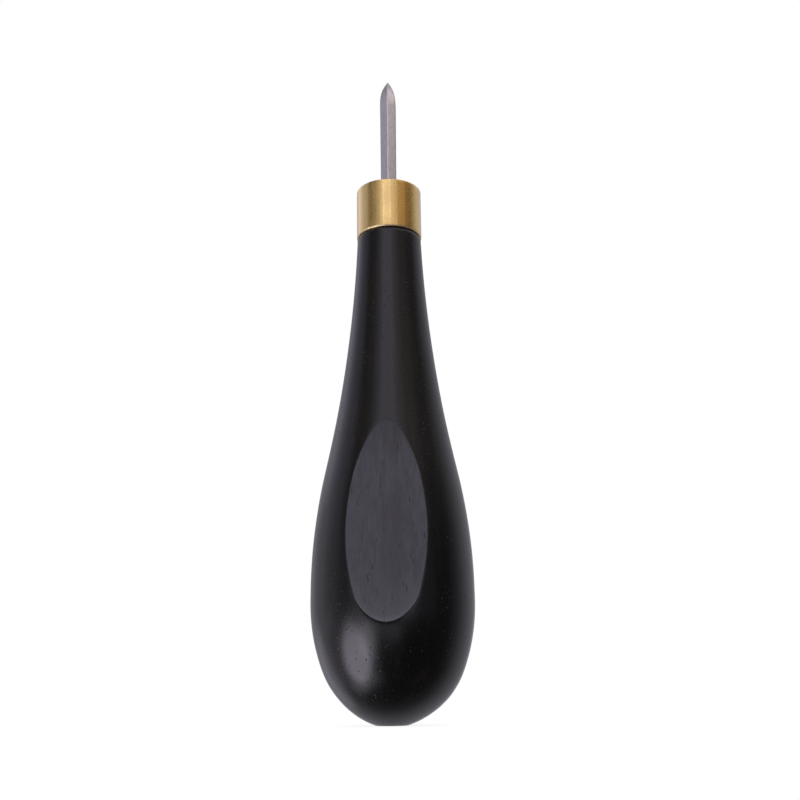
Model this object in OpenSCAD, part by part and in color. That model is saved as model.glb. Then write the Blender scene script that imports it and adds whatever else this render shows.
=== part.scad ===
// Diamond awl for piercing leather: a turned wooden handle with a thumb flat, a brass ferrule and a steel blade.
// The tool stands on the flat of its butt, with its axis along +Z, its point up and its thumb flat towards -Y.

/* [Handle] */
// Length of the handle, from its butt to the ferrule
handle_len = 86; // [76:1:100]
// Diameter of the bulb at its widest
bulb_d = 27.5; // [25:0.5:31]
// Height of the widest place above the butt
bulb_z = 19.6; // [17:0.2:22]
// Radius of the outline's arc below the widest place
shoulder_r = 30.5; // [27:0.5:36]
// Radius of the outline's arc above the widest place
belly_r = 105; // [85:1:130]
// Diameter of the flat that the handle stands on
butt_d = 5; // [4:0.5:8]
// Angle between the butt's flat and the outline beside it
butt_angle = 18; // [12:1:26]
// Half angle of the neck's taper at the ferrule
neck_taper = 2.1; // [0:0.1:4]

/* [Thumb flat] */
// Height of the flat's middle above the butt
flat_z = 32; // [29:0.5:35]
// Depth of the flat's middle below the round surface
flat_depth = 1.75; // [1.4:0.05:2.2]
// Angle by which the flat leans in towards the neck
flat_lean = 6; // [5:0.25:7]
// Radius of the sanding drum that hollows the flat along its length
flat_drum_r = 300; // [220:10:420]

/* [Ferrule] */
// Outer diameter of the ferrule
ferrule_d = 12; // [11:0.1:14]
// Length of the ferrule
ferrule_len = 9.4; // [8:0.1:14]
// Thickness of the ferrule's side wall
ferrule_wall = 1.5; // [1:0.1:2]
// Thickness of the ferrule's end wall
ferrule_end = 2.8; // [2:0.1:4]
// Rounding of the ferrule's front rim
rim_round = 0.3; // [0.1:0.05:0.6]
// Chamfer of the ferrule's lower edge, which ends flush with the neck
edge_chamfer = 0.15; // [0.05:0.05:0.4]

/* [Blade] */
// Length of blade that stands out of the ferrule
blade_reach = 24.1; // [18:0.1:40]
// Width of the diamond section across its cutting edges, where the point starts
blade_w = 3.1; // [2.4:0.1:4]
// Thickness of the diamond section across its ridges, where the point starts
blade_t = 2; // [1.4:0.1:2.6]
// Width of the diamond section at its heel
heel_w = 2.95; // [2.2:0.05:3.1]
// Length of the ground point
point_len = 4.6; // [3:0.1:8]
// Fullness of the point's sides: near 0 they are straight, near 1 they run smoothly into the blade
point_full = 0.9; // [0.3:0.05:0.95]
// Width left at the very tip
tip_w = 0.16; // [0.1:0.02:0.3]

/* [Tang] */
// Diameter of the round tang
tang_d = 3.3; // [2.8:0.1:4]
// Length of the tang below the ferrule's front face
tang_len = 30; // [20:1:40]
// Height of the round collar that the tang shows above the ferrule
collar_h = 0.8; // [0.4:0.1:2]
// Height of the cone in which the diamond's faces run out on the collar
run_out = 1.4; // [0.8:0.1:3]
// Chamfer of the tang's lower end
tang_chamfer = 0.6; // [0.2:0.1:1]

/* [Fits] */
// Glue gap round the spigot and round the tang in the wood
glue_gap = 0.05; // [0.02:0.01:0.1]
// Room left above the spigot and under the tang
end_gap = 0.3; // [0.1:0.1:1]
// Chamfer of the spigot's end
spigot_chamfer = 0.5; // [0.2:0.1:1]
// Point angle of the drill that made the tang's hole
drill_angle = 118; // [90:2:140]

/* [Hidden] */

round_fn = 120;
arc_fn = 720;
// Overlap of pieces that are joined, and reach of cuts beyond a surface
margin = 1;
// Depth by which neighbouring arcs cross, so that they meet in one clean corner
hair = 0.001;

ferrule_r = ferrule_d / 2;
ferrule_top = handle_len + ferrule_len;
socket_r = ferrule_r - ferrule_wall;
socket_top = ferrule_top - ferrule_end;
spigot_r = socket_r - glue_gap;
spigot_top = socket_top - end_gap;
tang_r = tang_d / 2;
tang_end = ferrule_top - tang_len;
hole_r = tang_r + glue_gap;
hole_end = tang_end - end_gap;
drill_tip = hole_end - hole_r / tan(drill_angle / 2);

// The handle's outline has four arcs that run smoothly into each other. Its points are [radius, height].
butt_edge = [butt_d / 2, 0];
widest = [bulb_d / 2, bulb_z];
neck_edge = [ferrule_r - edge_chamfer, handle_len];
shoulder_c = widest - [shoulder_r, 0];
belly_c = widest - [belly_r, 0];

// The dome's arc leaves the butt's edge at its angle and bulges a hair through the shoulder's arc.
to_dome = [-sin(butt_angle), cos(butt_angle)];
dome_reach = shoulder_r + hair;
butt_arm = butt_edge - shoulder_c;
dome_r = (dome_reach^2 - butt_arm * butt_arm) / (2 * (dome_reach + butt_arm * to_dome));
dome_c = butt_edge + dome_r * to_dome;
dome_join = shoulder_c + shoulder_r * unit(dome_c - shoulder_c);

// The neck's hollow arc ends with the neck's taper and dips a hair into the belly's arc.
to_neck = [cos(neck_taper), sin(neck_taper)];
neck_reach = belly_r - hair;
neck_arm = neck_edge - belly_c;
neck_r = (neck_arm * neck_arm - neck_reach^2) / (2 * (neck_reach - neck_arm * to_neck));
neck_c = neck_edge + neck_r * to_neck;
neck_join = belly_c + belly_r * unit(neck_c - belly_c);

// The thumb flat's middle lies under the belly's arc.
flat_off = belly_c.x + sqrt(belly_r^2 - (flat_z - bulb_z)^2) - flat_depth;

// A diamond is where two slabs cross, each as thick as the diamond is across its opposite faces.
slab_turn = atan2(blade_w, blade_t);
slab_share = cos(slab_turn);
point_half = slab_share * blade_w / 2;
heel_half = slab_share * heel_w / 2;
tip_half = slab_share * tip_w / 2;
heel_z = ferrule_top + collar_h;
tip_z = ferrule_top + blade_reach;
point_z = tip_z - point_len;
slab_flare = (point_half - heel_half) / (point_z - heel_z);
flare_half = point_half + slab_flare * point_len;

// Each side of the point is an arc through the point's foot and its tip.
point_foot = [point_half, point_z];
point_chord = [tip_half, tip_z] - point_foot;
point_bow = point_full * (point_half - tip_half) / 4;
point_r = (point_chord * point_chord / 4 + point_bow^2) / (2 * point_bow);
point_c = point_foot + point_chord / 2 - (point_r - point_bow) * unit([point_chord.y, -point_chord.x]);

function unit(v) = v / norm(v);

// What lies of a half outline between two heights
module band(low, high) {
    intersection() {
        polygon([[0, low], [bulb_d, low], [bulb_d, high], [0, high]]);
        children();
    }
}

module disc(centre, radius) {
    translate(centre)
        circle(r = radius, $fn = arc_fn);
}

// Half outline of the turned handle, from the butt's flat up to the ferrule
module handle_outline() {
    band(0, bulb_z)
        disc(dome_c, dome_r);
    band(dome_join.y, bulb_z)
        disc(shoulder_c, shoulder_r);
    band(bulb_z, handle_len)
        disc(belly_c, belly_r);
    difference() {
        band(neck_join.y, handle_len)
            square([widest.x, handle_len]);
        translate(neck_edge)
            rotate(neck_taper)
                disc([neck_r, 0], neck_r);
    }
}

// Half outline of the spigot that goes into the ferrule, rooted in the handle
module spigot_outline() {
    polygon([
        [0, handle_len - margin],
        [spigot_r, handle_len - margin],
        [spigot_r, spigot_top - spigot_chamfer],
        [spigot_r - spigot_chamfer, spigot_top],
        [0, spigot_top]
    ]);
}

// Half outline of the drilled hole for the tang
module hole_outline() {
    polygon([
        [0, drill_tip],
        [hole_r, hole_end],
        [hole_r, spigot_top + margin],
        [0, spigot_top + margin]
    ]);
}

// Sanding drum that lies across the handle and cuts the thumb flat
module flat_drum() {
    translate([0, -flat_off, flat_z])
        rotate([-flat_lean, 0, 0])
            translate([0, -flat_drum_r, 0])
                rotate([0, 90, 0])
                    cylinder(r = flat_drum_r, h = 2 * bulb_d, center = true, $fn = arc_fn);
}

module handle() {
    color("#1d1c1e")
        difference() {
            rotate_extrude($fn = round_fn)
                union() {
                    handle_outline();
                    spigot_outline();
                }
            rotate_extrude($fn = round_fn)
                hole_outline();
            flat_drum();
        }
}

// Half outline of the ferrule's outside, with the chamfered lower edge and the rounded front rim
module ferrule_outline() {
    chamfer_top = handle_len + edge_chamfer;
    rim_z = ferrule_top - rim_round;
    rim_x = ferrule_r - rim_round;
    polygon([
        [0, handle_len],
        [ferrule_r - edge_chamfer, handle_len],
        [ferrule_r, chamfer_top],
        [ferrule_r, rim_z],
        [rim_x, rim_z],
        [rim_x, ferrule_top],
        [0, ferrule_top]
    ]);
    translate([rim_x, rim_z])
        intersection() {
            circle(r = rim_round, $fn = round_fn);
            square(rim_round);
        }
}

// Half outline of the ferrule's inside: the spigot's socket and the tang's bore
module socket_outline() {
    polygon([
        [0, handle_len - margin],
        [socket_r, handle_len - margin],
        [socket_r, socket_top],
        [tang_r, socket_top],
        [tang_r, ferrule_top + margin],
        [0, ferrule_top + margin]
    ]);
}

module ferrule() {
    color("#c8a050")
        rotate_extrude($fn = round_fn)
            difference() {
                ferrule_outline();
                socket_outline();
            }
}

// Outline of one slab: sides that flare a little from the heel, closed by the two arcs of the point
module slab_outline() {
    intersection() {
        polygon([[-heel_half, heel_z], [heel_half, heel_z], [flare_half, tip_z], [-flare_half, tip_z]]);
        union() {
            polygon([[-blade_w, heel_z], [blade_w, heel_z], [blade_w, point_c.y], [-blade_w, point_c.y]]);
            intersection() {
                disc(point_c, point_r);
                disc([-point_c.x, point_c.y], point_r);
            }
        }
    }
}

module slab(turn) {
    rotate([90, 0, turn])
        linear_extrude(height = 2 * blade_w, center = true)
            slab_outline();
}

// Half outline of the tang, from its chamfered end up through the collar to the cone inside the diamond
module tang_outline() {
    polygon([
        [0, tang_end],
        [tang_r - tang_chamfer, tang_end],
        [tang_r, tang_end + tang_chamfer],
        [tang_r, heel_z],
        [heel_half / 2, heel_z + run_out],
        [0, heel_z + run_out]
    ]);
}

module blade() {
    color("#9b999d")
        union() {
            intersection() {
                slab(slab_turn);
                slab(-slab_turn);
            }
            rotate_extrude($fn = round_fn)
                tang_outline();
        }
}

handle();
ferrule();
blade();
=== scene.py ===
import math

import bpy
import numpy as np
from mathutils import Matrix, Vector


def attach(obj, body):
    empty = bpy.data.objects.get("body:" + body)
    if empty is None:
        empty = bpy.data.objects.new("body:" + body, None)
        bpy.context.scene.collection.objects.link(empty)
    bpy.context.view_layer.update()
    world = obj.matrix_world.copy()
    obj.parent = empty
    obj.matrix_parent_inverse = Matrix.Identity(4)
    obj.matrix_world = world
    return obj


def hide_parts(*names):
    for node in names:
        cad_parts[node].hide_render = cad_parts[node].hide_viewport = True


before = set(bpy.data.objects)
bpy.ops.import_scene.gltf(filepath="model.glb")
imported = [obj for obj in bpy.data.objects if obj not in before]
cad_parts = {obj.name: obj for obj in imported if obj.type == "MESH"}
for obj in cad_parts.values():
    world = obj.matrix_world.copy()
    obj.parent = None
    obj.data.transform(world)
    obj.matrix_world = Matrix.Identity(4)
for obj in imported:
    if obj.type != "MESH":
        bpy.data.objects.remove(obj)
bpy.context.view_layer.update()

# Meshes are made in millimetres and scaled to metres at the end.
MM = 0.001
METRE = 1000.0
FULL_TURN = 2 * math.pi

# Sizes of the solids in millimetres, as in the part's source
HANDLE_LEN = 86.0
BULB_Z = 19.6
SHOULDER_R = 30.5
BELLY_R = 105.0
BUTT_ANGLE = math.radians(18.0)
NECK_TAPER = math.radians(2.1)
FLAT_Z = 32.0
FLAT_DEPTH = 1.75
FLAT_LEAN = math.radians(6.0)
FLAT_DRUM_R = 300.0
FERRULE_R = 6.0
FERRULE_LEN = 9.4
FERRULE_WALL = 1.5
FERRULE_END = 2.8
EDGE_CHAMFER = 0.15
TANG_R = 1.65
TANG_LEN = 30.0
TANG_CHAMFER = 0.6
COLLAR_H = 0.8
RUN_OUT = 1.4
BLADE_REACH = 24.1
BLADE_W = 3.1
BLADE_T = 2.0
HEEL_W = 2.95
TIP_W = 0.16
GLUE_GAP = 0.05
END_GAP = 0.3
SPIGOT_CHAMFER = 0.5
DRILL_ANGLE = math.radians(118.0)

FERRULE_TOP = HANDLE_LEN + FERRULE_LEN
SOCKET_R = FERRULE_R - FERRULE_WALL
SOCKET_TOP = FERRULE_TOP - FERRULE_END
SPIGOT_R = SOCKET_R - GLUE_GAP
SPIGOT_TOP = SOCKET_TOP - END_GAP
TANG_END = FERRULE_TOP - TANG_LEN
HOLE_R = TANG_R + GLUE_GAP
HOLE_END = TANG_END - END_GAP
DRILL_TIP = HOLE_END - HOLE_R / math.tan(DRILL_ANGLE / 2)
HEEL_Z = FERRULE_TOP + COLLAR_H
TIP_Z = FERRULE_TOP + BLADE_REACH

# From here on, sizes that differ from the solids'. The bulb is a hair slimmer, to stay inside their box.
BULB_R = 13.73
# The butt is wider and sits off the axis towards -X, less and less up to a height.
BUTT_R = 2.6
BUTT_OFF = 0.3
BUTT_OFF_TOP = 4.5
# The belly is fuller round a height.
SWELL = 0.11
SWELL_Z = 36.0
SWELL_SPAN = 13.0
# The thumb flat is cut deeper round two heights near its ends.
END_CUT = 0.08
UPPER_CUT_Z = 42.0
UPPER_CUT_SPAN = 4.5
LOWER_CUT_Z = 19.4
LOWER_CUT_SPAN = 2.3
# A groove in the wood makes the dark line under the ferrule, and the ferrule's rim is crisper.
GROOVE = 0.15
RIM_ROUND = 0.15
# The blade sits out of square, and its point is ground back further on the right than on the left.
BLADE_TURN = math.radians(-6.0)
POINT_LEFT = 4.6
POINT_RIGHT = 7.3
POINT_RIDGE = 5.2
# Corners are cut back, the flat's edge is eased, and the blade's ridges and cutting edges are softened.
EASE = 0.04
FLAT_EASE = 0.09
RIDGE_SOFT = 0.14
EDGE_SOFT = 0.008


# Shapes

def unit(v):
    """The same direction with a length of 1."""
    return v / np.hypot(*v)


def hump(height, middle, span, power=2):
    """1 at a middle height, falling off as the exponential of minus a power of the distance in spans."""
    return np.exp(-(((height - middle) / span) ** power))


def crowded(share, strength):
    """Shares of a way from 0 to 1, less a sine wave, so that they lie closer together near both of its
    ends."""
    return share - strength * np.sin(FULL_TURN * share) / FULL_TURN


def carried_round(r, z, angle):
    """Points at radii and heights, at angles round the axis from +X."""
    return np.stack([r * np.cos(angle), r * np.sin(angle), z + 0 * angle], axis=2)


def on_circle(centre, radius, height):
    """The circle's point at a height: on its outer side, or on its inner side where the radius is
    negative."""
    reach = math.sqrt(radius**2 - (height - centre[1]) ** 2)
    return np.array([centre[0] + math.copysign(reach, radius), height])


def arc(centre, radius, start, end, step):
    """Points on a circle from one of its points to another, about one step of arc length apart."""
    low = math.atan2(*(start - centre)[::-1])
    high = math.atan2(*(end - centre)[::-1])
    turn = (high - low + math.pi) % FULL_TURN - math.pi
    angle = low + turn * np.linspace(0, 1, int(abs(turn) * radius / step) + 2)
    return centre + radius * np.stack([np.cos(angle), np.sin(angle)], axis=1)


def arcs(centre, radius, ends, steps):
    """Points on a circle past a row of its points, with a step for each stretch. The last point is left
    off."""
    stretches = zip(ends, ends[1:], steps)
    return np.concatenate([arc(centre, radius, start, end, step)[:-1] for start, end, step in stretches])


def eased(corners, ease):
    """A line through corners, each inner one cut back to two points at the ease's distance on either
    side."""
    p = np.array(corners, float)
    ahead = np.diff(p, axis=0)
    ahead /= np.linalg.norm(ahead, axis=1)[:, None]
    cut = np.stack([p[1:-1] - ease * ahead[:-1], p[1:-1] + ease * ahead[1:]], axis=1).reshape(-1, 2)
    return np.concatenate([p[:1], cut, p[-1:]])


def filled(path, step):
    """The same line with points added evenly along each stretch, so that no gap is longer than the step."""
    length = np.linalg.norm(np.diff(path, axis=0), axis=1)
    count = np.maximum(np.ceil(length / step).astype(int), 1)
    stretch = np.repeat(np.arange(len(count)), count)
    first = (np.cumsum(count) - count)[stretch]
    share = np.append(stretch + (np.arange(count.sum()) - first) / count[stretch], len(path) - 1)
    return np.stack([np.interp(share, np.arange(len(path)), path[:, c]) for c in (0, 1)], axis=1)


def handle_outline():
    """Half outline of the handle as [radius, height]: from the butt's middle up the dome, shoulder, belly
    and hollow neck, four arcs that touch each other, into a fine groove under the ferrule, then over the
    spigot and down the wall of the tang's hole. Rows lie closer together where the flat's two ends cross
    them."""
    butt_row, row, shoulder_row, neck_row, inside_row = 0.4, 0.35, 0.3, 0.4, 1.5
    lower_end, lower_end_row = (14.8, 17.2), 0.06
    upper_end, upper_end_row = (46.5, 50.0), 0.1
    first_ring, last_ring = 0.3, 0.2
    butt_edge = np.array([BUTT_R, 0.0])
    widest = np.array([BULB_R, BULB_Z])
    neck_edge = np.array([FERRULE_R - EDGE_CHAMFER, HANDLE_LEN])
    shoulder_c = widest - [SHOULDER_R, 0]
    belly_c = widest - [BELLY_R, 0]

    to_dome = np.array([-math.sin(BUTT_ANGLE), math.cos(BUTT_ANGLE)])
    arm = butt_edge - shoulder_c
    dome_r = (SHOULDER_R**2 - arm @ arm) / (2 * (SHOULDER_R + arm @ to_dome))
    dome_c = butt_edge + dome_r * to_dome
    dome_join = shoulder_c + SHOULDER_R * unit(dome_c - shoulder_c)

    to_neck = np.array([math.cos(NECK_TAPER), math.sin(NECK_TAPER)])
    arm = neck_edge - belly_c
    neck_r = (arm @ arm - BELLY_R**2) / (2 * (BELLY_R - arm @ to_neck))
    neck_c = neck_edge + neck_r * to_neck
    neck_join = belly_c + BELLY_R * unit(neck_c - belly_c)

    lower = [on_circle(shoulder_c, SHOULDER_R, z) for z in lower_end]
    upper = [on_circle(neck_c, -neck_r, z) for z in (*upper_end, HANDLE_LEN - GROOVE)]
    butt = filled(np.array([[first_ring, 0.0], [BUTT_R - EASE, 0.0]]), butt_row)
    dome = arc(dome_c, dome_r, butt_edge, dome_join, row)[1:-1]
    shoulder_rows = (shoulder_row, lower_end_row, shoulder_row)
    shoulder = arcs(shoulder_c, SHOULDER_R, [dome_join, *lower, widest], shoulder_rows)
    belly = arc(belly_c, BELLY_R, widest, neck_join, row)[:-1]
    neck = arcs(neck_c, neck_r, [neck_join, *upper], (row, upper_end_row, neck_row))
    inside = eased([
        neck_edge - [0, GROOVE],
        neck_edge - [GROOVE, GROOVE],
        neck_edge - [GROOVE, 0],
        [SPIGOT_R, HANDLE_LEN],
        [SPIGOT_R, SPIGOT_TOP - SPIGOT_CHAMFER],
        [SPIGOT_R - SPIGOT_CHAMFER, SPIGOT_TOP],
        [HOLE_R, SPIGOT_TOP],
        [HOLE_R, HOLE_END],
        [last_ring, DRILL_TIP + last_ring * (HOLE_END - DRILL_TIP) / HOLE_R],
    ], EASE)
    return np.concatenate([butt, dome, shoulder, belly, neck, filled(inside[1:], inside_row)])


def flat_surface(z):
    """Y of the thumb flat at each height: the wall of the sanding drum, a cylinder along X whose axis lies
    one radius out from the flat's middle and is raised by the lean, plus a hump near each of the flat's
    ends, where the flat is cut deeper."""
    belly_at_flat = BULB_R - BELLY_R + math.sqrt(BELLY_R**2 - (FLAT_Z - BULB_Z) ** 2)
    drum_y = -(belly_at_flat - FLAT_DEPTH) - FLAT_DRUM_R * math.cos(FLAT_LEAN)
    drum_z = FLAT_Z + FLAT_DRUM_R * math.sin(FLAT_LEAN)
    drum = drum_y + np.sqrt(FLAT_DRUM_R**2 - (z - drum_z) ** 2)
    ends = hump(z, UPPER_CUT_Z, UPPER_CUT_SPAN) + hump(z, LOWER_CUT_Z, LOWER_CUT_SPAN)
    return drum + END_CUT * ends


def handle_columns(r, z, flat_y):
    """Angles of each row's points from -Y: some across the flat, closer together towards its edge, and the
    others round the back, closer together near the edge too. Above and below the flat, the edge's angle
    goes over smoothly from a narrow one to a wider one."""
    flat_middle, flat_half, spread = 32.1, 16.7, 12
    narrow, wider_by = 0.12, 0.23
    flat_columns, back_columns = 65, 131
    even, crowding = 0.3, 0.75
    edge = np.arccos(np.clip(-flat_y / r, -1, 1))
    beyond = np.clip(np.abs(z - flat_middle) - flat_half, 0, spread) / spread
    edge = np.maximum(edge, narrow + wider_by * beyond**2 * (3 - 2 * beyond))
    across = np.linspace(-1, 1, flat_columns)[None, :]
    across = even * across + (1 - even) * np.sin(across * math.pi / 2)
    around = crowded(np.linspace(0, 1, back_columns)[None, 1:-1], crowding)
    return np.concatenate([edge * across, edge + (FULL_TURN - 2 * edge) * around], axis=1)


def handle_points():
    """The outline carried round the axis, with the butt moved off it. Where the round surface lies outside
    the sanding drum's wall, its Y is raised to the wall's. The two are joined by a soft maximum: half of
    their sum and of the root of their difference squared plus an ease squared. A broad hump then makes the
    belly fuller. Returns the grid, and how far each point is sanded or on the flat's lower rim, where a
    highlight is painted."""
    butt_power, swell_power = 1.5, 4
    sanded_from, sanded_over = 0.03, 0.03
    rim_from, rim_over = 0.05, 0.22
    outline = handle_outline()
    r, z = outline[:, 0:1], outline[:, 1:2]
    flat_y = flat_surface(z)
    angle = handle_columns(r, z, flat_y)
    x = r * np.sin(angle) - BUTT_OFF * np.clip(1 - z / BUTT_OFF_TOP, 0, 1) ** butt_power
    y = -r * np.cos(angle)
    depth = flat_y - y
    y = (y + flat_y + np.sqrt(depth**2 + FLAT_EASE**2)) / 2
    swell = 1 + SWELL / BULB_R * hump(z, SWELL_Z, SWELL_SPAN, swell_power)
    # The sanding is fainter towards the flat's upper end, and a highlight is painted on the rim at its
    # lower end.
    fainter = np.interp(z, [42.0, 49.0], [1.0, 0.55])
    rim_highlight_share = np.interp(z, [15.5, 17.0, 21.0, 28.0], [1.0, 0.55, 0.2, 0.0])
    marks = {
        "sanded": np.clip((depth - sanded_from) / sanded_over, 0, 1) * fainter,
        # Painted highlight: this marks the flat's lower rim, which the finish paints paler.
        "rim": np.exp(-np.maximum(depth - rim_from, 0) / rim_over) * rim_highlight_share,
    }
    return np.stack([x * swell, y * swell, z + 0 * x], axis=2), marks


def ferrule_points():
    """A closed outline of the cup carried round the axis: a broken lower edge, straight side, quarter-round
    rim, front face, the tang's bore and the spigot's socket. The lower edge is a quarter of an ellipse,
    twice as high as deep. Returns the grid, and which points are on the lower edge, where a paler colour
    paints a highlight line."""
    rim_row, side_row, inside_row = 0.05, 0.5, 0.7
    edge_rows, columns = 9, 192
    edge_high = 2 * EDGE_CHAMFER
    rim_c = np.array([FERRULE_R - RIM_ROUND, FERRULE_TOP - RIM_ROUND])
    rim = arc(rim_c, RIM_ROUND, rim_c + [RIM_ROUND, 0], rim_c + [0, RIM_ROUND], rim_row)
    quarter = np.linspace(math.pi / 2, 0, edge_rows)[:, None]
    edge = np.hstack([
        FERRULE_R - EDGE_CHAMFER + EDGE_CHAMFER * np.cos(quarter),
        HANDLE_LEN + edge_high - edge_high * np.sin(quarter),
    ])
    side = filled(np.stack([edge[-1], rim[0]]), side_row)
    inside = eased([
        rim[-1],
        [TANG_R, FERRULE_TOP],
        [TANG_R, SOCKET_TOP],
        [SOCKET_R, SOCKET_TOP],
        [SOCKET_R, HANDLE_LEN],
        [FERRULE_R - EDGE_CHAMFER - EASE, HANDLE_LEN],
    ], EASE)
    outline = np.concatenate([edge, side[1:], rim[1:-1], filled(inside, inside_row)])
    angle = np.linspace(0, FULL_TURN, columns + 1)[None, :-1]
    # The lower edge's rows are marked for a painted highlight line, which the brass finish paints paler.
    lower_edge_highlight = (np.arange(len(outline)) < len(edge) - 1)[:, None] + 0 * angle
    return carried_round(outline[:, 0:1], outline[:, 1:2], angle), {"lower_edge_highlight": lower_edge_highlight}


def blade_heights():
    """Heights of the blade's rows: the tang's chamfer, the tang, the collar, the cone in which the faces
    run out, the straight blade, and the point, where rows lie closer together towards the tip."""
    tang_rows, collar_rows, cone_rows, straight_rows, point_rows = 24, 5, 36, 30, 90
    hair, crowding = 0.02, 1.3
    cone_top = HEEL_Z + RUN_OUT
    point_foot = TIP_Z - POINT_RIGHT
    return np.concatenate([
        TANG_END + np.array([0.0, hair, TANG_CHAMFER / 2, TANG_CHAMFER - hair, TANG_CHAMFER + hair]),
        np.linspace(TANG_END + 1, HEEL_Z - 0.6, tang_rows),
        np.linspace(HEEL_Z - 0.4, HEEL_Z - hair, collar_rows),
        np.linspace(HEEL_Z + hair, cone_top, cone_rows),
        np.linspace(cone_top + 0.4, point_foot - 0.2, straight_rows),
        TIP_Z - POINT_RIGHT * np.linspace(1, 0, point_rows) ** crowding,
    ])[:, None]


def blade_points():
    """In polar form round the axis, the larger of two radii. One is the round tang's, with its chamfer and
    its cone. The other is a diamond's, one over the sum of |cos| / half width and |sin| / half thickness,
    where the two absolute values are softened so that ridges and edges are a little round, and a factor
    gives back the width that this takes. The diamond flares from the heel. Its left half width, right half
    width and half thickness then close to the tip, each as one less a power of the share of its point's
    length that is done. Returns the grid, and how near each point is to a cutting edge, less so on the left
    one."""
    left_full, right_full, ridge_full = 2.65, 3.5, 2.4
    width_back = 1.022
    edge_reach, left_edge = 0.17, 0.4
    cone_end = 0.01
    quarter_columns, crowding = 24, 0.9
    z = blade_heights()
    heel = HEEL_W / 2 * BLADE_T / math.hypot(BLADE_W, BLADE_T)
    cone_top = HEEL_Z + RUN_OUT
    round_r = np.interp(
        z,
        [TANG_END, TANG_END + TANG_CHAMFER, HEEL_Z, cone_top, cone_top + cone_end],
        [TANG_R - TANG_CHAMFER, TANG_R, TANG_R, heel / 2, 0.0],
    )
    flare = np.interp(z, [HEEL_Z, TIP_Z - POINT_LEFT], [HEEL_W / BLADE_W, 1.0])

    def closing(length, power):
        done = np.clip(1 - (TIP_Z - z) / length, 0, 1)
        return flare * (TIP_W + (BLADE_W - TIP_W) * (1 - done**power)) / BLADE_W

    quarter = crowded(np.linspace(0, 1, quarter_columns + 1)[:-1], crowding)
    angle = (math.pi / 2 * (np.arange(4)[:, None] + quarter[None, :])).reshape(1, -1)
    on_right = np.cos(angle) > 0
    right, left = closing(POINT_RIGHT, right_full), closing(POINT_LEFT, left_full)
    side = np.where(on_right, right, left) * BLADE_W / 2
    ridge = closing(POINT_RIDGE, ridge_full) * BLADE_T / 2
    across = np.sqrt(np.cos(angle) ** 2 + RIDGE_SOFT**2) / side
    through = np.sqrt(np.sin(angle) ** 2 + EDGE_SOFT**2) / ridge
    r = np.maximum(np.where(z < HEEL_Z, 0, width_back / (across + through)), round_r)
    # The edge mark is where a dark reflection is painted along the cutting edges.
    edge = np.clip(1 - np.abs(r * np.sin(angle)) / edge_reach, 0, 1) * np.where(on_right, 1.0, left_edge)
    return carried_round(r, z, angle + BLADE_TURN), {"edge": edge}


def grid_faces(here, closed=False):
    """Quads between each row of a grid of point numbers and the next. Columns close round, and closed rows
    too."""
    beside = np.roll(here, -1, axis=1)
    quads = np.stack([here, beside, np.roll(beside, -1, axis=0), np.roll(here, -1, axis=0)], axis=2)
    if not closed:
        quads = quads[:-1]
    return quads.reshape(-1, 4).tolist()


def grid_piece(name, points, marks, poles=None):
    """A closed mesh from a grid of points in millimetres. Columns close round the axis. Rows close on
    themselves too, or run from one pole to the other, where each pole is a point that is fanned to its row.
    Each mark is a number at every point, kept as an attribute for the finish."""
    corners = points.reshape(-1, 3)
    here = np.arange(len(corners)).reshape(points.shape[:2])
    faces = grid_faces(here, closed=poles is None)
    if poles is not None:
        first, last = len(corners), len(corners) + 1
        low, high = here[0], here[-1]
        corners = np.concatenate([corners, poles])
        faces += np.stack([0 * low + first, np.roll(low, -1), low], axis=1).tolist()
        faces += np.stack([high, np.roll(high, -1), 0 * high + last], axis=1).tolist()
    mesh = bpy.data.meshes.new(name)
    mesh.from_pydata((corners * MM).tolist(), [], faces)
    mesh.shade_smooth()
    for mark, values in marks.items():
        layer = mesh.attributes.new(mark, "FLOAT", "POINT")
        with_poles = np.append(values, np.zeros(len(corners) - values.size))
        layer.data.foreach_set("value", with_poles.astype(np.float32))
    piece = bpy.data.objects.new(name, mesh)
    bpy.context.scene.collection.objects.link(piece)
    return piece


# Finishes

class Nodes:
    """The nodes of a material or of the world, with short ways to add and join them."""

    def __init__(self, holder):
        holder.use_nodes = True
        self.nodes = holder.node_tree.nodes
        self.links = holder.node_tree.links

    def add(self, kind, inputs=None, **settings):
        """A new node with settings of its own, and with its inputs set or linked."""
        node = self.nodes.new(kind)
        for key, value in settings.items():
            setattr(node, key, value)
        for key, value in (inputs or {}).items():
            self.put(node.inputs[key], value)
        return node

    def put(self, socket, value):
        """Links another node's output to a socket, or sets a number or colour on it."""
        if isinstance(value, bpy.types.NodeSocket):
            self.links.new(value, socket)
        else:
            socket.default_value = value

    def ramp(self, value, low, high, to_low=0.0, to_high=1.0):
        """A value spread smoothly from one range to another."""
        return self.add("ShaderNodeMapRange", {
            "Value": value, "From Min": low, "From Max": high, "To Min": to_low, "To Max": to_high,
        }, interpolation_type="SMOOTHSTEP").outputs["Result"]

    def times(self, a, b):
        """The product of two numbers."""
        return self.add("ShaderNodeMath", {0: a, 1: b}, operation="MULTIPLY").outputs["Value"]

    def plus(self, a, b):
        """The sum of two numbers."""
        return self.add("ShaderNodeMath", {0: a, 1: b}, operation="ADD").outputs["Value"]

    def blend(self, share, a, b):
        """Colour a where the share is 0 and colour b where it is 1."""
        node = self.add("ShaderNodeMix", data_type="RGBA")
        self.put(node.inputs[0], share)
        self.put(node.inputs[6], a if isinstance(a, bpy.types.NodeSocket) else (*a, 1))
        self.put(node.inputs[7], b if isinstance(b, bpy.types.NodeSocket) else (*b, 1))
        return node.outputs[2]

    def mix(self, share, a, b):
        """Number a where the share is 0 and number b where it is 1."""
        node = self.add("ShaderNodeMix", data_type="FLOAT")
        for key, value in ((0, share), (2, a), (3, b)):
            self.put(node.inputs[key], value)
        return node.outputs[0]


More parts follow.
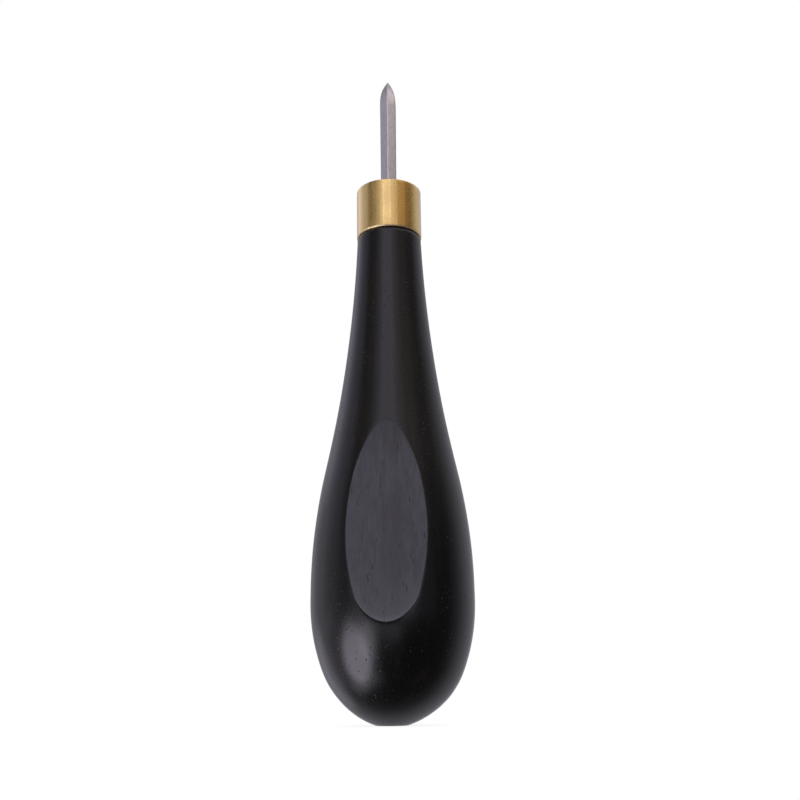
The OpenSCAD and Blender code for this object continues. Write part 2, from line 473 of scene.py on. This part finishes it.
class Finish(Nodes):
    """A procedural finish: a Principled shader and the patterns that feed it, all on Object coordinates."""

    def __init__(self, name):
        self.material = bpy.data.materials.new(name)
        super().__init__(self.material)
        self.shader = self.nodes["Principled BSDF"]
        self.place = self.add("ShaderNodeTexCoord").outputs["Object"]

    def give(self, socket, value):
        """Sets or links one of the shader's own sockets."""
        self.put(self.shader.inputs[socket], value)

    def stretched(self, across, along, lean=0.0, shift=0.0):
        """Object coordinates in units of a pattern's grain, whose size in millimetres is given across and
        along the axis. The grain leans about Y by an angle in degrees, and a shift picks another stretch of
        it."""
        turn = (0, math.radians(lean), 0)
        turned = self.add("ShaderNodeMapping", {"Vector": self.place, "Rotation": turn})
        return self.add("ShaderNodeMapping", {
            "Vector": turned.outputs["Vector"],
            "Scale": (METRE / across, METRE / across, METRE / along),
            "Location": (shift, 0, 0),
        }).outputs["Vector"]

    def noise(self, across, along, detail, rough, shift=0.0):
        """Soft noise with a grain of a size in millimetres across and along the axis."""
        grain = self.stretched(across, along, shift=shift)
        return self.add("ShaderNodeTexNoise", {
            "Vector": grain, "Scale": 1.0, "Detail": detail, "Roughness": rough,
        }).outputs["Fac"]

    def pores(self, across, along, size, kept, lean=0.0, shift=0.0):
        """Small closed spots near the middles of the cells of a stretched Voronoi pattern. Each cell has a
        random number from 0 to 1, and its spot is weaker the nearer that number comes to what is kept."""
        full_strength = 0.4
        grain = self.stretched(across, along, lean, shift)
        cells = self.add("ShaderNodeTexVoronoi", {"Vector": grain, "Scale": 1.0})
        spot = self.ramp(cells.outputs["Distance"], size, full_strength * size)
        pick = self.add("ShaderNodeSeparateColor", {"Color": cells.outputs["Color"]})
        return self.times(spot, self.ramp(pick.outputs["Red"], kept, 0.0))

    def mark(self, name):
        """The number that the mesh keeps at each point under a name."""
        return self.add("ShaderNodeAttribute", attribute_name=name).outputs["Fac"]

    def sides(self):
        """The place's X, Y and Z in metres."""
        return self.add("ShaderNodeSeparateXYZ", {"Vector": self.place}).outputs

    def relief(self, height, depth):
        """Bump from a pattern whose full height is a depth in millimetres."""
        return self.add("ShaderNodeBump", {
            "Height": height, "Distance": depth * MM, "Strength": 1.0,
        }).outputs["Normal"]


def black_wood():
    """Polished black wood with faint brown streaks and fine pores, which come in clusters. The thumb flat
    is grey sanded wood, with fine lines along it, darker bands, slits that crowd at its lower left, and a
    few pale scratches across it. It is paler towards its lower end, and its lower rim has a painted
    highlight."""
    black = (0.0018, 0.0018, 0.0018)
    brown = (0.0052, 0.0038, 0.0031)
    pore_grey = (0.0105, 0.01, 0.0092)
    dark_grey = (0.031, 0.03, 0.0355)
    blue_grey = (0.0435, 0.0425, 0.0575)
    line_grey = (0.054, 0.052, 0.061)
    band_grey = (0.017, 0.017, 0.018)
    low_grey = (0.059, 0.057, 0.069)
    slit_black = (0.007, 0.0068, 0.0076)
    scratch_grey = (0.09, 0.088, 0.094)
    rim_highlight_grey = (0.088, 0.086, 0.093)
    wood = Finish("black_wood")
    sanded = wood.mark("sanded")
    sides = wood.sides()
    height, side = sides["Z"], sides["X"]

    streak = wood.ramp(wood.noise(across=1.6, along=22, detail=4.0, rough=0.6), 0.48, 0.75)
    fine = wood.noise(across=0.3, along=0.9, detail=3.0, rough=0.6)
    cluster = wood.noise(across=6, along=9, detail=2.0, rough=0.5, shift=3.0)
    pore = wood.pores(across=0.85, along=1.15, size=0.19, kept=1.7)
    pore = wood.times(pore, wood.ramp(cluster, 0.42, 0.6, 0.25, 1.0))
    polish = wood.blend(streak, black, brown)
    polish = wood.blend(pore, polish, pore_grey)

    lines = wood.noise(across=0.09, along=4.0, detail=3.0, rough=0.65)
    tone = wood.noise(across=0.5, along=6.0, detail=3.0, rough=0.6)
    band = wood.noise(across=3.2, along=34, detail=2.0, rough=0.5)
    grey = wood.blend(wood.ramp(tone, 0.3, 0.7), dark_grey, blue_grey)
    grey = wood.blend(wood.ramp(lines, 0.4, 0.8), grey, line_grey)
    grey = wood.blend(wood.ramp(band, 0.5, 0.66, 0.0, 0.25), grey, band_grey)
    grey = wood.blend(wood.ramp(height, 25 * MM, 16 * MM, 0.0, 0.45), grey, low_grey)
    long_slit = wood.pores(across=0.4, along=9.0, size=0.22, kept=0.8, lean=7.0)
    short_slit = wood.pores(across=0.3, along=4.5, size=0.23, kept=0.9, lean=5.0)
    crowd_slit = wood.pores(across=0.55, along=5.5, size=0.24, kept=1.0, lean=9.0, shift=4.0)
    lower_left = wood.times(wood.ramp(height, 27 * MM, 21 * MM), wood.ramp(side, 1 * MM, -3 * MM))
    slit = wood.plus(wood.times(long_slit, 0.95), wood.times(short_slit, 0.4))
    slit = wood.plus(slit, wood.times(crowd_slit, lower_left))
    scratch = wood.pores(across=0.6, along=3.0, size=0.2, kept=0.1, lean=-68.0)
    grey = wood.blend(slit, grey, slit_black)
    grey = wood.blend(scratch, grey, scratch_grey)
    # Painted highlight: the flat's lower rim is paler, as if it caught the light.
    grey = wood.blend(wood.mark("rim"), grey, rim_highlight_grey)
    wood.give("Base Color", wood.blend(sanded, polish, grey))

    gloss = wood.plus(wood.ramp(fine, 0.3, 0.7, 0.0, 0.04), 0.24)
    gloss = wood.plus(gloss, wood.times(pore, 0.5))
    matt = wood.plus(wood.ramp(lines, 0.3, 0.7, 0.0, 0.1), 0.58)
    wood.give("Roughness", wood.mix(sanded, gloss, matt))
    smooth = wood.plus(wood.times(pore, -1.0), wood.times(fine, 0.06))
    ground = wood.plus(wood.times(slit, -1.0), wood.times(lines, 0.35))
    wood.give("Normal", wood.relief(wood.mix(sanded, smooth, ground), depth=0.03))
    return wood.material


def turned_brass():
    """Turned brass with very fine rings from the lathe, which blur reflections along the axis and not round
    it and are stronger towards the edge at +X. It has a few bright strokes along the rings, pits, faint
    clouds, a painted warm reflection as an orange stripe towards +X, a paler lower edge that paints a
    highlight line along it, and a clear lacquer."""
    clean = (0.96, 0.675, 0.24)
    clouded = (0.9, 0.625, 0.205)
    warm_reflection_orange = (0.98, 0.53, 0.1)
    ring_brown = (0.78, 0.52, 0.2)
    stroke_pale = (0.95, 0.78, 0.45)
    pit_brown = (0.3, 0.18, 0.08)
    lower_edge_highlight_pale = (0.97, 0.87, 0.62)
    brass = Finish("turned_brass")
    side = brass.sides()["X"]
    lower_edge_highlight = brass.mark("lower_edge_highlight")
    rings = brass.noise(across=60, along=0.09, detail=2.0, rough=0.6)
    cloud = brass.noise(across=2.2, along=3.0, detail=4.0, rough=0.6)
    stroke = brass.pores(across=2.4, along=0.3, size=0.2, kept=0.3)
    pit = brass.pores(across=0.9, along=0.9, size=0.13, kept=0.3)
    # Painted warm reflection: an orange stripe on the side towards +X, between these two ramps.
    stripe_left = brass.ramp(side, 1.2 * MM, 3 * MM)
    stripe_right = brass.ramp(side, 5 * MM, 4.1 * MM, 0.0, 0.7)
    ringed = brass.ramp(side, 4.4 * MM, 5.4 * MM, 0.2, 0.45)
    metal = brass.blend(brass.ramp(cloud, 0.4, 0.75), clean, clouded)
    metal = brass.blend(brass.times(stripe_left, stripe_right), metal, warm_reflection_orange)
    metal = brass.blend(brass.times(brass.ramp(rings, 0.4, 0.7), ringed), metal, ring_brown)
    metal = brass.blend(brass.times(stroke, 0.6), metal, stroke_pale)
    metal = brass.blend(brass.times(pit, 0.6), metal, pit_brown)
    # Painted highlight: the lower edge is paler, which gives a bright line along it.
    metal = brass.blend(brass.times(lower_edge_highlight, 0.5), metal, lower_edge_highlight_pale)
    rough = brass.ramp(cloud, 0.3, 0.7, 0.24, 0.3)
    rough = brass.plus(rough, brass.times(lower_edge_highlight, 0.35))
    rough = brass.plus(rough, brass.times(pit, 0.2))
    brass.give("Base Color", metal)
    brass.give("Metallic", 1.0)
    brass.give("Roughness", rough)
    brass.give("Normal", brass.relief(rings, depth=0.0002))
    brass.give("Anisotropic", 0.75)
    brass.give("Anisotropic Rotation", 0.25)
    brass.give("Coat Weight", 1.0)
    brass.give("Coat Roughness", 0.12)
    return brass.material


def ground_steel():
    """Steel ground along the blade, with fine lines that blur reflections across it, a slight cloudiness
    and a painted dark reflection along the cutting edges."""
    bright = (0.8, 0.77, 0.77)
    clouded = (0.67, 0.645, 0.65)
    line_grey = (0.58, 0.56, 0.565)
    edge_dark_reflection_grey = (0.32, 0.31, 0.31)
    steel = Finish("ground_steel")
    lines = steel.noise(across=0.05, along=5.0, detail=3.0, rough=0.65)
    cloud = steel.noise(across=0.3, along=1.1, detail=4.0, rough=0.6)
    tone = steel.blend(steel.ramp(cloud, 0.38, 0.64), bright, clouded)
    tone = steel.blend(steel.ramp(lines, 0.45, 0.75, 0.0, 0.4), tone, line_grey)
    # Painted dark reflection along the cutting edges, weaker on the left.
    tone = steel.blend(steel.times(steel.mark("edge"), 0.8), tone, edge_dark_reflection_grey)
    steel.give("Base Color", tone)
    steel.give("Metallic", 1.0)
    steel.give("Roughness", steel.plus(steel.ramp(cloud, 0.3, 0.7, 0.0, 0.1), 0.37))
    steel.give("Normal", steel.relief(lines, depth=0.0015))
    steel.give("Anisotropic", 0.8)
    return steel.material


# The three pieces, each in the place of its solid

def dress(piece, node, material):
    """Gives a piece its finish, puts it on the root body, and hides the solid that it stands for."""
    piece.data.materials.append(material)
    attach(piece, "root")
    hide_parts(node)


handle = grid_piece("turned_handle", *handle_points(), ((-BUTT_OFF, 0.0, 0.0), (0.0, 0.0, DRILL_TIP)))
dress(handle, "handle", black_wood())

ferrule = grid_piece("brass_ferrule", *ferrule_points())
dress(ferrule, "ferrule", turned_brass())

blade = grid_piece("diamond_blade", *blade_points(), ((0.0, 0.0, TANG_END), (0.0, 0.0, TIP_Z)))
dress(blade, "blade", ground_steel())


# Camera: low in front of the awl, looking up along it

def set_camera():
    """Stands at a distance from the axis and a height above the floor, in millimetres, turned by azimuth,
    yaw, pitch and roll. Its focal length is given in pixels of the image."""
    distance, height = 169.912, 5.0
    azimuth, yaw, pitch, roll = np.radians([4.567, -0.551, 16.366, -0.72])
    image_wide, focal, sensor = 800, 998.742, 36.0
    nearest = 5 * MM
    face = azimuth + yaw
    ahead = np.array([-math.sin(face) * math.cos(pitch), math.cos(face) * math.cos(pitch), math.sin(pitch)])
    level_right = np.array([math.cos(face), math.sin(face), 0.0])
    level_above = np.cross(level_right, ahead)
    right = math.cos(roll) * level_right + math.sin(roll) * level_above
    above = math.cos(roll) * level_above - math.sin(roll) * level_right
    eye = MM * np.array([distance * math.sin(azimuth), -distance * math.cos(azimuth), height])
    place = np.eye(4)
    place[:3] = np.stack([right, above, -ahead, eye], axis=1)
    camera = bpy.data.objects.new("camera", bpy.data.cameras.new("camera"))
    camera.data.sensor_width = sensor
    camera.data.lens = sensor * focal / image_wide
    camera.data.clip_start = nearest
    camera.matrix_world = Matrix(place.tolist())
    bpy.context.scene.collection.objects.link(camera)
    bpy.context.scene.camera = camera


# Light, floor and surroundings

COOL = (0.99, 0.94, 1.08)
COLD = (0.94, 0.95, 1.22)
WARM = (1.08, 0.97, 0.93)
AMBER = (1.12, 0.93, 0.86)

# Each soft box's name, azimuth, elevation, width, height, level and tint
LAMPS = (
    # Mirrored in the blade, the ferrule, the neck and the thumb flat
    ("rear_left", -107, 33, 52, 30, 0.27, COLD),
    ("far_left", -67, 33, 28, 30, 0.07, AMBER),
    ("left", -46, 33, 14, 30, 0.11, WARM),
    ("near_left", -33, 33, 12, 30, 0.24, COOL),
    ("front_left", -21, 33, 12, 30, 0.51, COOL),
    ("front", -3, 33, 24, 30, 0.82, COOL),
    ("front_right", 15, 33, 12, 30, 0.48, COOL),
    ("near_right", 27, 33, 12, 30, 0.33, WARM),
    ("right", 47, 33, 28, 30, 0.17, AMBER),
    ("far_right", 68, 33, 14, 30, 0.05, AMBER),
    ("rear_right", 95, 33, 40, 30, 0.05, WARM),
    ("high_rear_right", 118, 40, 26, 16, 0.24, WARM),
    # Mirrored in the widest part of the bulb
    ("side_left", -95, 4, 40, 28, 0.25, COOL),
    ("mid_far_left", -62, 4, 26, 28, 0.1, COOL),
    ("mid_left", -38, 4, 22, 28, 0.4, COOL),
    ("mid_right", 24, 4, 22, 28, 0.5, COOL),
    ("mid_far_right", 50, 4, 30, 28, 0.1, COOL),
    # From above
    ("high_front", 0, 60, 50, 22, 0.5, COOL),
    ("high_right", 75, 50, 50, 18, 0.55, WARM),
    ("top", 0, 84, 50, 26, 0.4, COOL),
    # Mirrored in the lower half of the bulb, through the floor
    ("low_left", -57, -31, 40, 38, 2.15, COOL),
    ("low_near", -34, -24, 22, 24, 1.25, COOL),
    ("low_front", -22, -14, 22, 14, 0.47, COOL),
    ("low_middle", 3, -18, 28, 14, 0.37, COOL),
    ("low_under", -50, -52, 36, 16, 0.4, COOL),
    ("low_end", -75, -50, 30, 18, 0.55, COOL),
    ("low_side", -95, -24, 36, 40, 0.18, COOL),
    ("low_rear", -128, -24, 30, 40, 0.26, COOL),
)

# Fill light, and the grey of the surroundings in mirrors, at shares of the way from the front to the back
FILL = 0.5
ROOM_TINT = (0.98, 0.95, 1.07)
ROOM = ((0.0, 0.0), (0.5, 0.04), (0.62, 0.17), (0.75, 0.45), (0.88, 0.52), (0.96, 0.45), (1.0, 0.8))


def soft_light(name, azimuth, elevation, wide, high, level, tint):
    """A soft box at a distance from the awl in metres, as bright as its level times white. Its directions
    are in degrees: azimuth from the front towards +X, elevation from the horizon, and its width and height
    as seen from the awl. The boxes under the floor are oval, which makes them about a quarter brighter than
    their level."""
    far, aim_height = 0.8, 0.05
    white_power, oval_below = 4, -10
    a, e = math.radians(azimuth), math.radians(elevation)
    back = Vector((math.sin(a) * math.cos(e), -math.cos(a) * math.cos(e), math.sin(e)))
    lamp = bpy.data.lights.new(name, "AREA")
    lamp.shape = "ELLIPSE" if elevation < oval_below else "RECTANGLE"
    lamp.color = tint
    lamp.size = 2 * far * math.tan(math.radians(wide / 2))
    lamp.size_y = 2 * far * math.tan(math.radians(high / 2))
    lamp.energy = white_power * level * lamp.size * lamp.size_y
    holder = bpy.data.objects.new(name, lamp)
    holder.location = back * far + Vector((0, 0, aim_height))
    holder.rotation_mode = "QUATERNION"
    holder.rotation_quaternion = back.to_track_quat("Z", "Y")
    holder.visible_camera = False
    bpy.context.scene.collection.objects.link(holder)


def set_world():
    """White all round to the eye. In mirrors it is pale behind the awl and fades to a dark room in front of
    it, and as fill light it is an even grey."""
    world = bpy.data.worlds.new("studio")
    room = Nodes(world)
    rays = room.add("ShaderNodeLightPath").outputs
    way = room.add("ShaderNodeTexCoord").outputs["Generated"]
    back = room.add("ShaderNodeSeparateXYZ", {"Vector": way}).outputs["Y"]
    share = room.add("ShaderNodeMapRange", {"Value": back, "From Min": -1.0}).outputs["Result"]
    fade = room.add("ShaderNodeValToRGB", {"Fac": share})
    stops = fade.color_ramp.elements
    while len(stops) < len(ROOM):
        stops.new(0.5)
    for stop, (position, grey) in zip(stops, ROOM):
        stop.position = position
        stop.color = (*(grey * np.array(ROOM_TINT)), 1)
    mirrored = room.add("ShaderNodeMath", {
        0: rays["Is Glossy Ray"], 1: rays["Is Transmission Ray"],
    }, operation="MAXIMUM").outputs["Value"]
    light = room.blend(mirrored, (FILL, FILL, FILL), fade.outputs["Color"])
    seen = room.blend(rays["Is Camera Ray"], light, (1, 1, 1))
    room.put(room.nodes["Background"].inputs["Color"], seen)
    bpy.context.scene.world = world


def pale_floor():
    """A matt pale floor that the eye sees as almost white close to the butt, where its shadow shows through
    a little, and as white further out."""
    shadow_from, white_from = 3 * MM, 12 * MM
    floor = Finish("pale_floor")
    floor.give("Base Color", (0.9, 0.9, 0.9, 1))
    floor.give("Roughness", 0.9)
    floor.give("Specular IOR Level", 0.0)
    away = floor.add("ShaderNodeVectorMath", {0: floor.place}, operation="LENGTH").outputs["Value"]
    whiter = floor.ramp(away, shadow_from, white_from, 0.88, 1.0)
    seen = floor.times(floor.add("ShaderNodeLightPath").outputs["Is Camera Ray"], whiter)
    white = floor.add("ShaderNodeEmission").outputs["Emission"]
    both = floor.add("ShaderNodeMixShader", {0: seen, 1: floor.shader.outputs["BSDF"], 2: white})
    floor.put(floor.nodes["Material Output"].inputs["Surface"], both.outputs["Shader"])
    return floor.material


def lay_floor():
    """A round floor just under the butt: rings of points about the origin, from the widest in to the
    smallest, which one face fills."""
    smallest, widest, rings, columns = 2, 1600, 40, 96
    under = 0.02
    ring = np.geomspace(smallest, widest, rings)[::-1, None]
    angle = np.linspace(0, FULL_TURN, columns + 1)[None, :-1]
    points = carried_round(ring, 0 * ring - under, angle)
    here = np.arange(rings * columns).reshape(rings, columns)
    mesh = bpy.data.meshes.new("floor")
    mesh.from_pydata((points.reshape(-1, 3) * MM).tolist(), [], grid_faces(here) + [here[-1].tolist()])
    mesh.materials.append(pale_floor())
    floor = bpy.data.objects.new("floor", mesh)
    bpy.context.scene.collection.objects.link(floor)
    floor.visible_glossy = False
    floor.visible_shadow = False


set_camera()
for lamp_row in LAMPS:
    soft_light(*lamp_row)
set_world()
lay_floor()
bpy.context.scene.view_settings.view_transform = "Standard"
